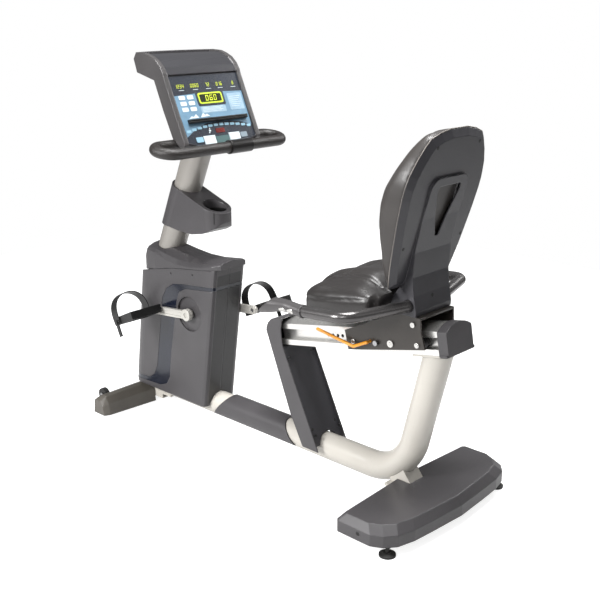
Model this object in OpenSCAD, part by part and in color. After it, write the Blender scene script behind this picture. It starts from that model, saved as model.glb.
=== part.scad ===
// Recumbent exercise bike with a sliding seat, a belt-driven flywheel and a console on a mast.
// x runs from the console (-) to the backrest (+), y from the rider's left (-) to the
// rider's right (+), z is up and the floor is z = 0. All lengths are in millimetres.

/* [Frame] */
// outside diameter of the bent main tube
tube_d = 89; // [76:1:102]
// wall of the main tube
tube_wall = 3; // [2:0.5:4]
// height of the lower run's axis above the floor
tube_z = 90.5; // [85:0.5:100]
// centreline radius of the bend
bend_r = 175; // [160:5:190]
// rearward lean of the upright in degrees
upright_lean = 13.5; // [10:0.5:16]
// slope of the seat rail in degrees, rising to the rear
rail_slope = 10.5; // [8:0.5:13]
// diameter of the console mast
mast_d = 100; // [90:1:110]
// rearward lean of the mast in degrees
mast_lean = 23.5; // [20:0.5:27]

/* [Drive] */
// crank length, axle to pedal spindle
crank_length = 170; // [160:5:180]
// rotation of the left crank below the horizontal
crank_angle = 5.4; // [0:0.1:30]
// nose-down pitch of the pedals
pedal_pitch = 25; // [0:1:40]
// radius of the drive pulley on the crank
pulley_r = 104; // [90:1:106]
// radius of the flywheel
flywheel_r = 112; // [100:1:116]

/* [Seat] */
// recline of the backrest in degrees
recline = 15; // [10:0.5:20]
// half-width of the backrest at its widest
back_half = 187; // [170:1:200]
// half-width of the seat cushion
cushion_half = 205; // [190:1:220]
// diameter of the seat handlebar tube
bar_d = 34; // [28:1:38]

/* [Hidden] */
$fn = 64;
bend_turn = 90 - upright_lean;
upright_x = 563;
bend_x = upright_x - bend_r * tan(bend_turn / 2);
bend_z = tube_z + bend_r;
rail_foot = [84, 0, 428];
rail_half = 56;
rail_crown = 88;
rail_front = -16;
rail_rear = 640;
mast_foot = [-587, 0, 560];
mast_length = 590;
crank_x = -374;
crank_z = 437;
flywheel_x = -492;
flywheel_z = 262;
belt_y = -48;
housing_half = 75;
strut_half = 73;
cover_z = 33;
foot_x = 717;
foot_y = 285;
beam_x = -705;
wheel_x = -753;
wheel_y = 200;
wheel_z = 56;
roller_r = 16;
roller_h = 36;
lever_x = 475;
lever_z = 541;
bar_y = 290;
bar_root = [615, 0, 682];
bar_tilt = 4.6;
grip_end = 394;
panel_slope = 24.6;
panel_foot = [-256, 0, 1078];
loop_origin = [-265, 0, 1056];
loop_tilt = 9;
loop_r = 45;
loop_y = 228;

cream = [0.86, 0.84, 0.79];
grey = [0.27, 0.26, 0.27];
slate = [0.17, 0.17, 0.19];
olive = [0.36, 0.35, 0.32];
bronze = [0.42, 0.39, 0.37];
umber = [0.22, 0.2, 0.18];
vinyl = [0.25, 0.22, 0.2];
navy = [0.08, 0.1, 0.17];
black = [0.06, 0.06, 0.06];
steel = [0.55, 0.55, 0.56];
silver = [0.8, 0.79, 0.76];
aluminium = [0.82, 0.82, 0.83];
orange = [0.93, 0.55, 0.1];
blue = [0.32, 0.48, 0.62];
white = [0.85, 0.87, 0.88];

// ---------------------------------------------------------------- shared helpers

// a side profile drawn in x and z, extruded from y = from to y = to
module profile(from, to) {
  translate([0, to, 0]) rotate([90, 0, 0]) linear_extrude(height = to - from) children();
}

// a bar along y through the point (x, z)
module cross_bar(x, z, r, from, to) {
  translate([x, from, z]) rotate([-90, 0, 0]) cylinder(r = r, h = to - from);
}

// children at +y and mirrored at -y
module both_sides() {
  children();
  mirror([0, 1, 0]) children();
}

// the rail's own frame: x along the rail, z square to it, origin on its underside
module on_rail() {
  translate(rail_foot) rotate([0, -rail_slope, 0]) children();
}

// the mast's own frame: z along the mast
module on_mast() {
  translate(mast_foot) rotate([0, mast_lean, 0]) children();
}

// the console face's own frame: x runs down the face, y across it, z out towards the rider
module on_panel() {
  translate(panel_foot) rotate([0, 90 - panel_slope, 0]) children();
}

// the backrest's own frame: z up the back, x rearward from the shell's back face
module on_back() {
  translate([575, 0, 658]) rotate([0, recline, 0]) children();
}

// bends stand this much proud of the straight runs, which reach a little way into them
bend_step = 0.15;
bend_lap = 2;

// the main tube's path as a solid bar of radius r
module tube_path(r, front = -557, top = 330) {
  translate([front, 0, tube_z]) rotate([0, 90, 0]) cylinder(r = r, h = bend_x + bend_lap - front);
  translate([bend_x, 0, bend_z]) rotate([90, 0, 0]) rotate([0, 0, -90])
    rotate_extrude(angle = bend_turn) translate([bend_r, 0]) circle(r = r + bend_step);
  translate([bend_x + bend_r * sin(bend_turn), 0, bend_z - bend_r * cos(bend_turn)])
    rotate([0, upright_lean, 0]) translate([0, 0, -bend_lap]) cylinder(r = r, h = top);
}

// everything above a plane square to the rail, h above its underside
module above_rail(h) {
  on_rail() translate([-200, -200, h]) cube([1100, 400, 400]);
}

// a closed tube in the x-y plane: straight legs of length 2 * side joined by two half turns
module loop_tube(r, side, turn) {
  for (x = [-turn, turn])
    translate([x, -side, 0]) rotate([-90, 0, 0]) cylinder(r = r, h = 2 * side);
  translate([0, side, 0]) rotate_extrude(angle = 180) translate([turn, 0]) circle(r = r);
  translate([0, -side, 0]) rotate([0, 0, 180])
    rotate_extrude(angle = 180) translate([turn, 0]) circle(r = r);
}

// ---------------------------------------------------------------- frame

module main_tube() color(cream) {
  difference() {
    tube_path(tube_d / 2);
    tube_path(tube_d / 2 - tube_wall, front = -560, top = 400);
    above_rail(-4);
  }
  on_rail() translate([533, -50, -8]) cube([98, 100, 8]);
}

// the square post leaves the bend on its outer side, along the bend's radius
module rear_frame() color(cream) {
  post_half = 33;
  lean = bend_turn / 2;
  difference() {
    intersection() {
      translate([bend_x, 0, bend_z]) rotate([0, 180 - lean, 0])
        translate([-post_half, -post_half, 150]) cube([2 * post_half, 2 * post_half, 160]);
      translate([400, -100, 76]) cube([400, 200, 200]);
    }
    tube_path(tube_d / 2);
    translate([bend_x, 0, bend_z]) rotate([0, 180 - lean, 0])
      translate([-post_half + 3, -post_half + 3, 150])
        cube([2 * post_half - 6, 2 * post_half - 6, 160]);
  }
  difference() {
    union() {
      translate([526, -60, 68]) cube([214, 120, 8]);
      translate([540, -50, 34]) cube([130, 100, 34]);
      translate([670, -284, 34]) cube([62, 568, 34]);
      for (y = [-foot_y, foot_y])
        translate([foot_x, y, 34]) cylinder(r = 10, h = 34);
    }
    translate([546, -46, 38]) cube([118, 92, 26]);
    for (y = [-262, 8])
      translate([674, y, 38]) cube([54, 254, 26]);
    for (y = [-foot_y, foot_y])
      translate([foot_x, y, 0]) cylinder(d = 12.1, h = 100);
    tube_path(tube_d / 2);
  }
}

function cover_plan(front, side, grow) = [
  [front, 0], [front + 4, 60], [front + 14, 185], [front + 16, side - 8], [front + 24, side],
  [684 + grow, side], [719 + grow, side - 18], [746 + grow, side - 52],
  [761 + grow, side - 111], [768 + grow, side - 191], [777 + grow, 0]
];

module cover_slab(front, side, grow, z, h) {
  half = cover_plan(front, side, grow);
  mirrored = [for (i = [len(half) - 2:-1:1]) [half[i][0], -half[i][1]]];
  translate([0, 0, z]) linear_extrude(height = h) polygon(concat(half, mirrored));
}

// the boat-shaped plastic cover over the rear frame, open underneath
module rear_cover() color(grey) {
  difference() {
    hull() {
      cover_slab(538, 326, 0, cover_z, 36);
      cover_slab(556, 306, -22, 90, 2);
    }
    hull() {
      cover_slab(541, 323, -3, cover_z - 1, 36);
      cover_slab(558, 303, -25, 86, 3);
    }
    translate([bend_x, 0, bend_z]) rotate([0, 180 - bend_turn / 2, 0])
      translate([-35, -35, 150]) cube([70, 70, 200]);
    translate([520, -70, 30]) cube([40, 140, 47]);
    tube_path(tube_d / 2 + 3);
    both_sides() cross_bar(640, 55, 6.05, 318, 330);
  }
}

// post, neck, mast plate, crank shell and flywheel bearing arm in one weldment
module front_frame() color(cream) {
  difference() {
    translate([-617, -30, 46]) cube([60, 60, 498]);
    translate([-613, -26, 40]) cube([52, 52, 500]);
  }
  translate([-640, -52, 544]) cube([104, 104, 8]);
  difference() {
    translate([-734, -22, 22]) cube([117, 44, 46]);
    translate([-735, -18, 26]) cube([130, 36, 38]);
  }
  difference() {
    union() {
      translate([-557, -12, crank_z - 18]) cube([180, 24, 36]);
      cross_bar(crank_x, crank_z, 26, -30, 30);
    }
    cross_bar(crank_x, crank_z, 20, -31, 31);
  }
  difference() {
    union() {
      translate([-557, -12, flywheel_z - 20]) cube([60, 24, 40]);
      cross_bar(flywheel_x, flywheel_z, 20, -24, 24);
    }
    cross_bar(flywheel_x, flywheel_z, 7.55, -31, 31);
  }
}

module front_beam() color(cream) {
  difference() {
    translate([beam_x - 20, -240, 22]) cube([40, 214, 30]);
    translate([beam_x - 16, -236, 26]) cube([32, 220, 22]);
  }
  difference() {
    translate([beam_x - 20, 26, 22]) cube([40, 214, 30]);
    translate([beam_x - 16, 16, 26]) cube([32, 220, 22]);
  }
  translate([beam_x - 20, -26, 14]) cube([40, 52, 8]);
  for (y = [-26, 22])
    translate([beam_x - 20, y, 14]) cube([40, 4, 38]);
}

module front_feet() color(black) {
  for (y = [-160, 160]) translate([beam_x, y, 0]) {
    difference() {
      cylinder(d = 44, h = 22);
      translate([0, 0, -1]) cylinder(d = 12, h = 9);
    }
  }
}

function foot_section(rear, top, front) = [
  [rear, 5], [rear - 8, top * 0.62], [rear - 24, top * 0.94], [rear - 38, top],
  [rear - 58, top * 0.92], [front + 4, top * 0.62], [front, 5]
];

module foot_end(y, rear, top, front, inset) {
  profile(y, y + 1) polygon([
    for (p = foot_section(rear, top, front))
      [p[0] + (p[0] > beam_x ? -inset : inset), p[1] < 6 ? 4 - inset : p[1] - inset]
  ]);
}

// one half cover over the front beam, on the +y side
module front_cover() {
  difference() {
    hull() {
      foot_end(26, -655, 87, -752, 0);
      foot_end(236, -668, 76, -748, 0);
      foot_end(258, -678, 60, -742, 0);
    }
    hull() {
      foot_end(25, -655, 87, -752, 3);
      foot_end(236, -668, 76, -748, 3);
      foot_end(254, -678, 60, -742, 3);
    }
    translate([wheel_x - 40, wheel_y - 15, 0]) cube([68, 30, 120]);
  }
}

module front_cover_right() color(olive) front_cover();
module front_cover_left() color(olive) mirror([0, 1, 0]) front_cover();

// clevis ears and axle bolts of the transport wheels
module wheel_brackets() color(steel) {
  both_sides() {
    for (y = [wheel_y - 14, wheel_y + 11])
      profile(y, y + 3) difference() {
        polygon([[-725, 26], [-725, 50], [wheel_x - 6, 64], [wheel_x - 10, 50]]);
        translate([wheel_x, wheel_z]) circle(d = 8);
      }
    cross_bar(wheel_x, wheel_z, 4, wheel_y - 14, wheel_y + 14);
  }
}

module wheel() {
  difference() {
    union() {
      cross_bar(wheel_x, wheel_z, 25, wheel_y - 9, wheel_y + 9);
      cross_bar(wheel_x, wheel_z, 9, wheel_y - 10.5, wheel_y + 10.5);
    }
    cross_bar(wheel_x, wheel_z, 4.05, wheel_y - 12, wheel_y + 12);
  }
}

module wheel_right() color(black) wheel();
module wheel_left() color(black) mirror([0, 1, 0]) wheel();

// rubber pad, threaded stem and lock nut of a levelling foot
module levelling_foot(y) {
  translate([foot_x, y, 0]) {
    cylinder(d = 50, h = 6);
    translate([0, 0, 6]) cylinder(d1 = 50, d2 = 26, h = 6);
    translate([0, 0, 12]) cylinder(d = 12, h = 52);
    translate([0, 0, 26]) cylinder(d = 21, h = 8, $fn = 6);
  }
}

module foot_left() color(black) levelling_foot(-foot_y);
module foot_right() color(black) levelling_foot(foot_y);

// plastic half-round cover over the lower run, open below, with slanted ends
module tube_cover() color(grey) {
  difference() {
    translate([-300, 0, tube_z]) rotate([0, 90, 0]) cylinder(r = 50, h = 430);
    translate([-301, 0, tube_z]) rotate([0, 90, 0]) cylinder(r = 46, h = 432);
    translate([-310, -60, 0]) cube([450, 120, 66]);
    profile(-60, 60) polygon([[-320, 40], [-310, 40], [-218, 150], [-320, 150]]);
    profile(-60, 60) polygon([[128, 60], [46, 150], [160, 150], [160, 60]]);
  }
}

function strut_side(i) = [
  [186 + i, 94 - 4 * i], [131 + i, 196], [20 + i, 468], [21 + i, 480], [28 + i, 497 - i / 2],
  [43 + i / 2, 512 - i], [58, 519 - i], [91 + 4 * i, 525 - i], [86 + 4 * i, 485],
  [94 + 4 * i, 428], [256 + 4 * i, 94 - 4 * i]
];

// folded channel from the main tube up to the front of the rail, open to the rear
module seat_strut() color(grey) {
  difference() {
    profile(-strut_half, strut_half) polygon(strut_side(0));
    profile(-strut_half + 3, strut_half - 3) polygon(strut_side(3));
    tube_path(tube_d / 2);
  }
  difference() {
    translate([196, -strut_half + 3, 100]) cube([36, 2 * strut_half - 6, 6]);
    tube_path(tube_d / 2);
  }
}

// flat plate closing the back of the strut, with an arch over the tube
module strut_cover() color(slate) {
  difference() {
    profile(-69.5, 69.5) polygon([[86, 420], [90, 420], [242, 107], [238, 107]]);
    tube_path(tube_d / 2 + 4);
  }
}

module rail_section() {
  difference() {
    intersection() {
      translate([0, rail_crown - 106]) circle(r = 106, $fn = 160);
      translate([-rail_half, 0]) square([2 * rail_half, rail_crown]);
    }
    for (y = [-1, 1]) {
      translate([y > 0 ? 34 : -57, 18]) square([23, 36]);
      translate([y * 20 - 2, rail_crown - 4]) square([4, 6]);
    }
    translate([-30, 4]) square([60, 56]);
    translate([-28, 64]) square([56, 12]);
  }
}

// extruded aluminium rail with a roller channel along each side and a row of latch holes
module seat_rail() color(aluminium) {
  on_rail() difference() {
    translate([rail_front, 0, 0]) rotate([90, 0, 90])
      linear_extrude(height = rail_rear - rail_front) rail_section();
    for (i = [0:15])
      translate([190 + 20 * i, -40, 36]) rotate([-90, 0, 0]) cylinder(d = 11, h = 20);
  }
}

module rail_end_cap() color(grey) {
  on_rail() difference() {
    union() {
      translate([rail_rear, 0, 0]) rotate([90, 0, 90]) linear_extrude(height = 34)
        intersection() {
          translate([0, rail_crown - 102]) circle(r = 106, $fn = 160);
          translate([-63, -2]) square([126, 100]);
        }
      translate([rail_rear + 8, -70, -2]) cube([24, 140, 7]);
    }
    translate([rail_rear - 1, -54, 4]) cube([29, 108, 62]);
  }
}

// ---------------------------------------------------------------- housing

housing_lean = 8;

function nose_plan(i) = concat(
  [for (t = [-90:9:90]) [-362 - (78 - i) * cos(t), (housing_half - i) * sin(t)]],
  [[-14, housing_half - i], [-4 - i, housing_half - i - 4], [-i, housing_half - 14],
   [-i, 14 - housing_half], [-4 - i, i + 4 - housing_half], [-14, i - housing_half]]
);

function housing_side(i, low, high) = [
  [-100, low], [-704 + i, low], [-731 + i, 116], [-731 + i, 168], [-714 + i, 186],
  [-684 + i, 420], [-683 + i, 465], [-662 + i, 540], [-645 + i, 553 + high],
  [-579, 569 + high], [-458, 594 + high], [-229, 624 + high], [-100, 636 + high]
];

// the housing's outer form pulled in by i all round
module housing_form(i, low = 90, high = 0) {
  intersection() {
    translate([-307, 0, 90]) rotate([0, housing_lean, 0]) translate([0, 0, -80])
      linear_extrude(height = 720) polygon(nose_plan(i));
    profile(-90, 90) polygon(housing_side(i, low, high));
  }
}

// the dark C that runs over the top, down the front and under the nose
module trim_outline() {
  polygon([
    [-200, 564], [-392, 545], [-460, 535], [-500, 510], [-525, 469], [-543, 363], [-574, 187],
    [-592, 150], [-622, 128], [-760, 118], [-760, 104], [-560, 112], [-520, 128], [-500, 160],
    [-494, 208], [-484, 272], [-462, 381], [-443, 474], [-428, 510], [-392, 529], [-200, 552]
  ]);
}

module housing_half(from, to) {
  difference() {
    intersection() {
      union() {
        difference() {
          housing_form(0);
          housing_form(4, low = 80, high = 20);
        }
        for (y = [-75, 62]) cross_bar(crank_x, crank_z, 68, y, y + 13);
      }
      translate([-800, from, 0]) cube([700, to - from, 700]);
    }
    for (y = [-90, 66]) cross_bar(crank_x, crank_z, 64.5, y, y + 24);
    cross_bar(crank_x, crank_z, 15, -90, 90);
    intersection() {
      difference() {
        housing_form(-1, low = 60);
        housing_form(2, low = 50, high = 20);
      }
      profile(-90, 90) trim_outline();
    }
    translate([-420, 0, tube_z]) rotate([0, 90, 0]) cylinder(r = tube_d / 2 + 1, h = 200);
    translate([-800, -34, 60]) cube([190, 68, 34]);
    for (x = [-470, -350])
      cross_bar(x, x == -470 ? 572 : 588, 4, -90, 90);
  }
}

module housing_left() color(grey) housing_half(-80, 0);
module housing_right() color(grey) housing_half(0, 80);

module housing_trim() color(navy) {
  intersection() {
    difference() {
      housing_form(0.6);
      housing_form(2, low = 50, high = 20);
    }
    profile(-90, 90) trim_outline();
  }
}

// ring lofting: each ring lists the same number of points, walked the same way
module loft(rings) {
  n = len(rings[0]);
  m = len(rings);
  polyhedron(
    points = [for (r = rings) for (p = r) p],
    faces = concat(
      [[for (k = [0:n - 1]) k]],
      [for (j = [0:m - 2]) for (k = [0:n - 1])
        [j * n + k, (j + 1) * n + k, (j + 1) * n + (k + 1) % n]],
      [for (j = [0:m - 2]) for (k = [0:n - 1])
        [j * n + k, (j + 1) * n + (k + 1) % n, j * n + (k + 1) % n]],
      [[for (k = [n - 1:-1:0]) (m - 1) * n + k]]
    ),
    convexity = 6
  );
}

// x, seam height, side height, crown height and half-width along the cap
cap_stations = [
  [-648, 553, 562, 566, 44], [-632, 558, 610, 622, 60], [-612, 562.4, 640, 664, 68],
  [-560, 573, 636, 666, 75], [-500, 586.8, 620, 662, 75], [-440, 597.6, 612, 654, 75],
  [-372, 606, 614, 648, 75], [-300, 615, 624, 649, 75], [-248, 622, 636, 655, 74],
  [-228, 624.7, 640, 658, 66], [-214, 627, 644, 656, 58]
];

function cap_ring(s, i) = let (h = s[4] - i) [
  [s[0], -h, s[1] - 0.01], [s[0], h, s[1] - 0.01], [s[0], h, s[2] - i],
  [s[0], h * 0.86, s[2] + (s[3] - s[2]) * 0.4 - i], [s[0], h * 0.5, s[3] - 5 - i],
  [s[0], 0, s[3] - i], [s[0], -h * 0.5, s[3] - 5 - i],
  [s[0], -h * 0.86, s[2] + (s[3] - s[2]) * 0.4 - i], [s[0], -h, s[2] - i]
];

// saddle-topped cap with a collar hole for the mast
module housing_cap() color(grey) {
  difference() {
    loft([for (s = cap_stations) cap_ring(s, 0)]);
    translate([0, 0, -4]) loft([for (k = [1:9]) cap_ring(cap_stations[k], 4)]);
    on_mast() translate([0, 0, -60]) cylinder(d = mast_d + 2, h = 300);
  }
}

// ---------------------------------------------------------------- drive

module crank_bearings() color(steel) {
  for (y = [-30, 18]) difference() {
    cross_bar(crank_x, crank_z, 20, y, y + 12);
    cross_bar(crank_x, crank_z, 10.05, y - 1, y + 13);
  }
}

module crank_axle() color(steel) {
  cross_bar(crank_x, crank_z, 10, -82, 82);
}

module drive_pulley() color(aluminium) {
  difference() {
    union() {
      cross_bar(crank_x, crank_z, pulley_r, belt_y - 7, belt_y + 7);
      cross_bar(crank_x, crank_z, 22, belt_y - 8, belt_y + 15);
    }
    cross_bar(crank_x, crank_z, 10, belt_y - 30, belt_y + 30);
    for (a = [0:60:300])
      cross_bar(crank_x + 62 * cos(a), crank_z + 62 * sin(a), 22, belt_y - 9, belt_y + 9);
  }
}

// centre-to-centre geometry shared by the belt and both pulleys
belt_dx = flywheel_x - crank_x;
belt_dz = flywheel_z - crank_z;
belt_span = sqrt(belt_dx * belt_dx + belt_dz * belt_dz);
belt_turn = asin((pulley_r - 28) / belt_span);
belt_aim = atan2(belt_dz, belt_dx);

function on_circle(x, z, r, a) = [x + r * cos(a), z + r * sin(a)];

// the belt's loop: the long way round the drive pulley, then round the small one
function belt_loop(extra) = let (
  up = belt_aim + 90 - belt_turn,
  down = belt_aim - 90 + belt_turn
) concat(
  [for (t = [0:1 / 40:1.001]) on_circle(crank_x, crank_z, pulley_r + extra, up + t * (360 + down - up))],
  [for (t = [0:1 / 16:1.001]) on_circle(flywheel_x, flywheel_z, 28 + extra, down + t * (up - down))]
);

module drive_belt() color(black) {
  difference() {
    profile(belt_y - 6, belt_y + 6) polygon(belt_loop(3.5));
    profile(belt_y - 7, belt_y + 7) polygon(belt_loop(0.4));
  }
}

// flywheel, its shaft and the small belt pulley turn as one
module flywheel() color(steel) {
  difference() {
    union() {
      cross_bar(flywheel_x, flywheel_z, flywheel_r, 34, 56);
      cross_bar(flywheel_x, flywheel_z, 16, 26, 62);
    }
    for (a = [0:72:288])
      cross_bar(flywheel_x + 58 * cos(a), flywheel_z + 58 * sin(a), 17, 33, 57);
    for (y = [33, 52])
      difference() {
        cross_bar(flywheel_x, flywheel_z, 88, y, y + 5);
        cross_bar(flywheel_x, flywheel_z, 28, y - 1, y + 6);
      }
  }
  cross_bar(flywheel_x, flywheel_z, 7.5, -60, 30);
  cross_bar(flywheel_x, flywheel_z, 28, belt_y - 7, belt_y + 7);
}

// magnet shoe over the flywheel rim, on an arm from the front post
module brake_unit() color(slate) {
  difference() {
    cross_bar(flywheel_x, flywheel_z, flywheel_r + 16, 30.5, 62);
    cross_bar(flywheel_x, flywheel_z, flywheel_r + 2, 32.5, 59);
    cross_bar(flywheel_x, flywheel_z, flywheel_r - 18, 20, 70);
    translate([flywheel_x - 200, 0, flywheel_z - 200]) cube([400, 100, 200]);
    translate([flywheel_x - 30, 0, flywheel_z - 1]) cube([200, 100, 200]);
  }
  translate([-640, 30, flywheel_z + 2]) cube([18, 26, 90]);
  translate([-622, 30, flywheel_z + 40]) cube([16, 20, 30]);
}

// the arms sit at opposite ends of one line through the axle
module crank_arms() color(silver) {
  for (s = [-1, 1])
    translate([crank_x, s > 0 ? 78 : -94, crank_z]) rotate([0, s > 0 ? -crank_angle : 180 - crank_angle, 0])
      difference() {
        union() {
          rotate([-90, 0, 0]) cylinder(d = 44, h = 16);
          translate([0, s > 0 ? -8 : 16, 0]) rotate([-90, 0, 0]) cylinder(d = 34, h = 8);
          translate([0, 0, -15]) cube([crank_length, 14, 30]);
          translate([crank_length, 0, 0]) rotate([-90, 0, 0]) cylinder(d = 32, h = 14);
        }
        translate([0, s > 0 ? -20 : 12, 0]) rotate([-90, 0, 0]) cylinder(r = 10, h = 24);
        translate([0, s > 0 ? 13 : -1, 0]) rotate([-90, 0, 0]) cylinder(r = 9, h = 4);
        translate([crank_length, -1, 0]) rotate([-90, 0, 0]) cylinder(r = 7, h = 20);
        translate([24, s > 0 ? 14 : -2, -7]) cube([crank_length - 48, 4, 14]);
      }
}

function pedal_x(s) = crank_x + s * crank_length * cos(crank_angle);
function pedal_z(s) = crank_z + s * crank_length * sin(crank_angle);

module pedal_spindles() color(steel) {
  for (s = [-1, 1]) {
    cross_bar(pedal_x(s), pedal_z(s), 7, s > 0 ? 78 : -232, s > 0 ? 232 : -78);
    cross_bar(pedal_x(s), pedal_z(s), 10, s > 0 ? 94 : -98, s > 0 ? 98 : -94);
  }
}

// pedal body in its own frame: spindle along y at the origin, x forward along the tread
module pedal_body() {
  difference() {
    union() {
      translate([-47, 102, -15]) cube([94, 12, 30]);
      translate([-47, 226, -15]) cube([94, 12, 30]);
      translate([-47, 102, -15]) cube([12, 136, 30]);
      translate([35, 102, -15]) cube([12, 136, 30]);
      rotate([-90, 0, 0]) translate([0, 0, 102]) cylinder(d = 28, h = 132);
      for (y = [140, 170, 200]) translate([-40, y, 6]) cube([80, 5, 9]);
    }
    rotate([-90, 0, 0]) translate([0, 0, 90]) cylinder(r = 7.05, h = 143);
  }
}

module place_pedal(s) {
  translate([pedal_x(s), 0, pedal_z(s)]) rotate([0, -pedal_pitch, 0]) children();
}

module pedal_right() color(black) place_pedal(1) pedal_body();
module pedal_left() color(black) mirror([0, 1, 0]) place_pedal(-1) pedal_body();

// height of the strap's arch across the pedal, from u = 0 at the inner side to u = 1
function strap_y(u, r) = 170 + (70 + r) * -cos(180 * u);
function strap_h(u, r) = 2 + (92 + r) * pow(sin(180 * u), 0.62);

// webbing arch over the toes, with a buckle and a hanging tail on the outer side
module strap_body() {
  translate([-64, 0, 0]) rotate([90, 0, 90]) linear_extrude(height = 36)
    polygon(concat(
      [for (k = [0:24]) [strap_y(k / 24, 3), strap_h(k / 24, 3)]],
      [for (k = [24:-1:0]) [strap_y(k / 24, 0), strap_h(k / 24, 0)]]
    ));
  translate([-64, 238.2, -14]) cube([36, 3, 22]);
  translate([-64, 98, -14]) cube([36, 3.8, 20]);
  translate([-46, 241, -4]) rotate([-90, 0, 0]) cylinder(d = 16, h = 8);
  translate([-54, 241, -58]) cube([16, 4, 52]);
}

module strap_right() color(black) place_pedal(1) strap_body();
module strap_left() color(black) mirror([0, 1, 0]) place_pedal(-1) strap_body();

// ---------------------------------------------------------------- mast and console

module mast() color(cream) {
  difference() {
    on_mast() translate([0, 0, -60]) cylinder(d = mast_d, h = mast_length + 60);
    on_mast() translate([0, 0, -61]) cylinder(d = mast_d - 6, h = mast_length + 56);
    translate([-800, -100, 400]) cube([400, 200, 152]);
  }
}

// holder wrapped round the mast with a cup well behind it
module cup_holder() color(grey) {
  cup_x = -303;
  difference() {
    intersection() {
      union() {
        on_mast() translate([0, 0, 150]) cylinder(d = mast_d + 16, h = 280);
        profile(-57, 57) polygon([[-520, 700], [cup_x, 700], [cup_x, 920], [-440, 920]]);
        translate([cup_x, 0, 700]) cylinder(r = 57, h = 220);
      }
      profile(-70, 70) polygon([
        [-505, 910], [-572, 750], [-440, 734], [-369, 731], [-310, 742], [-262, 764],
        [-240, 790], [-240, 813.6]
      ]);
    }
    on_mast() cylinder(d = mast_d + 0.4, h = 500);
    translate([cup_x, 0, 776]) cylinder(r = 42, h = 140);
  }
}

module handlebar_frame() {
  translate(loop_origin) rotate([0, loop_tilt, 0]) children();
}

// steel loop whose front leg ends on both sides of the console's neck
module front_handlebar() color(steel) {
  difference() {
    handlebar_frame() loop_tube(12.5, loop_y, loop_r);
    on_mast() cylinder(r = 56.2, h = 700);
  }
}

nose_from = -5;
nose_to = 95;

// foam sleeves over the loop, one each side of the console's nose
module front_grips() color(black) {
  handlebar_frame() difference() {
    loop_tube(19, loop_y, loop_r);
    loop_tube(12.6, loop_y, loop_r);
    translate([20, nose_from, -40]) cube([60, nose_to - nose_from, 80]);
    translate([-80, -90, -40]) cube([80, 180, 80]);
  }
}

console_rear = [
  [-262, 1062], [-301, 1080], [-351, 1176], [-393, 1273], [-482, 1295], [-492, 1322],
  [-487, 1324], [-477, 1300], [-389, 1278], [-346, 1177], [-296, 1084], [-260, 1067]
];

// rear shell, open tray on top and the neck that takes the mast
module console_back() color(grey) {
  difference() {
    union() {
      profile(-155, 155) polygon(console_rear);
      intersection() {
        translate([52, 0, 1290]) difference() {
          cylinder(r = 566, h = 70, $fn = 180);
          translate([0, 0, -1]) cylinder(r = 561, h = 72, $fn = 180);
        }
        translate([-540, -155, 1290]) cube([80, 310, 68]);
      }
      translate([52, 0, 1290]) intersection() {
        cylinder(r = 564, h = 8, $fn = 180);
        translate([-600, -155, 0]) cube([66, 310, 8]);
      }
      intersection() {
        on_mast() translate([0, 0, 535]) cylinder(r = 56, h = 120);
        profile(-60, 60) polygon([[-460, 1030], [-310, 1030], [-294, 1084], [-346, 1184], [-460, 1160]]);
      }
      for (y = [-150, 120])
        profile(y, y + 30) polygon([[-300, 1082], [-262, 1064], [-262, 1076], [-296, 1096]]);
    }
    on_mast() cylinder(d = mast_d + 0.4, h = mast_length);
    handlebar_frame() loop_tube(19.6, loop_y, loop_r);
  }
}

rail_outline = [
  [-248, 1067], [-250, 1075], [-321, 1231], [-344, 1282], [-348, 1294], [-362, 1315],
  [-386, 1336], [-416, 1349], [-441, 1356], [-486, 1358], [-500, 1336], [-485, 1292],
  [-396, 1270], [-354, 1174], [-304, 1074], [-264, 1056]
];

visor = [
  [-352, 1286], [-368, 1310], [-390, 1328], [-418, 1340], [-442, 1347],
  [-443, 1353], [-417, 1346], [-387, 1333], [-363, 1313], [-347, 1288]
];

// how far the face's lower edge bows down at the middle
chin_bow = 24;

// side rails, visor face, chin and the nose that wraps the near bar of the handlebar
module console_bezel() color(bronze) {
  difference() {
    union() {
      both_sides() profile(155.2, 173) polygon(rail_outline);
      profile(-156, 156) polygon(visor);
      difference() {
        on_panel() translate([0, 0, -14]) linear_extrude(height = 16) polygon(concat(
          [for (t = [-1:0.1:1.01]) [8.5 + chin_bow * (1 - t * t), 156 * t]],
          [for (t = [1:-0.1:-1.01]) [4.2 + chin_bow * (1 - t * t), 156 * t]]
        ));
        profile(-155.1, 155.1) polygon(console_rear);
      }
      handlebar_frame() translate([loop_r, nose_from + 1, 0]) rotate([-90, 0, 0])
        cylinder(r = 24, h = nose_to - nose_from - 2);
    }
    handlebar_frame() {
      loop_tube(12.7, loop_y, loop_r);
      difference() {
        loop_tube(19.6, loop_y, loop_r);
        translate([20, nose_from, -40]) cube([60, nose_to - nose_from, 80]);
      }
    }
  }
}

// key centre across the face, centre up the face, width and height
keys = [[-101, 1, 30, 18], [-56, -4, 47, 27], [1, -7, 60, 27], [58, -3, 46, 29], [101, 2, 30, 18]];

module key_shape(k, gap) {
  w = keys[k][2] / 2 - 3 + gap;
  h = keys[k][3] / 2 - 3 + gap;
  translate([-keys[k][1], keys[k][0]]) {
    square([2 * h + 6, 2 * w], center = true);
    square([2 * h, 2 * w + 6], center = true);
    for (a = [-1, 1]) for (b = [-1, 1]) translate([a * h, b * w]) circle(r = 3);
  }
}

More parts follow.
